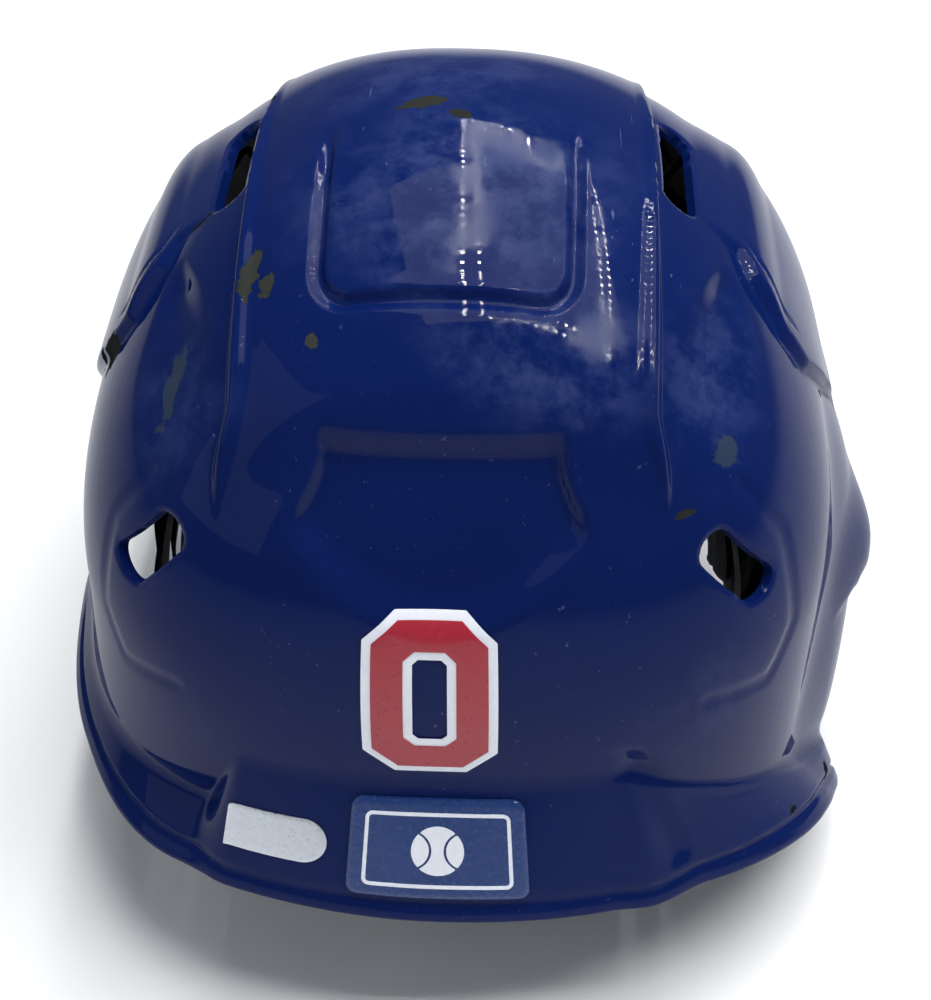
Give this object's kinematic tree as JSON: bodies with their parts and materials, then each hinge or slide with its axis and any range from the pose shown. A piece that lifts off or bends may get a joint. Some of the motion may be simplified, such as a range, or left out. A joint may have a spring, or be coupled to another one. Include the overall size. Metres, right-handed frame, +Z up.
{
  "type": "batting helmet",
  "caption": "Hard-shell batting helmet with one ear flap, flared rear lip, brim, vent slots, foam liner sections and comfort pads.",
  "frame": {"origin": "on the plane that the ear flap's foot stands on, under the middle of the length from rear lip to brim tip", "axes": "+Y to the front, where the brim is; +X to the wearer's right, where the ear flap is; +Z up towards the crown"},
  "size_m": [0.241, 0.3082, 0.234],
  "materials": {
    "shell_paint": "high gloss royal blue over a black composite, scuffed and chipped",
    "foam": "beaded foam",
    "pad_fabric": "brushed knit over soft foam",
    "hook_strip": "woven strip with moulded hooks",
    "white_vinyl": "satin vinyl",
    "red_vinyl": "satin vinyl",
    "blue_vinyl": "domed gloss vinyl",
    "foil": "brushed silver foil"
  },
  "bodies": {
    "root": {"badge_plate": "blue_vinyl", "brow_pad": "pad_fabric", "brow_pad_strip": "hook_strip", "cheek_pad": "pad_fabric", "cheek_pad_strip": "hook_strip", "crown_liner": "foam", "flap_liner": "foam", "foil_label": "foil", "front_liner": "foam", "jaw_pad": "pad_fabric", "jaw_pad_strip": "hook_strip", "left_crown_pad": "pad_fabric", "left_crown_pad_strip": "hook_strip", "left_liner": "foam", "left_side_pad": "pad_fabric", "left_side_pad_strip": "hook_strip", "left_temple_pad": "pad_fabric", "left_temple_pad_strip": "hook_strip", "nape_pad": "pad_fabric", "nape_pad_strip": "hook_strip", "numeral_border": "white_vinyl", "numeral_face": "red_vinyl", "rear_liner": "foam", "rear_pad": "pad_fabric", "rear_pad_strip": "hook_strip", "right_crown_pad": "pad_fabric", "right_crown_pad_strip": "hook_strip", "right_liner": "foam", "right_side_pad": "pad_fabric", "right_side_pad_strip": "hook_strip", "right_temple_pad": "pad_fabric", "right_temple_pad_strip": "hook_strip", "shell": "shell_paint"}
  },
  "joints": []
}
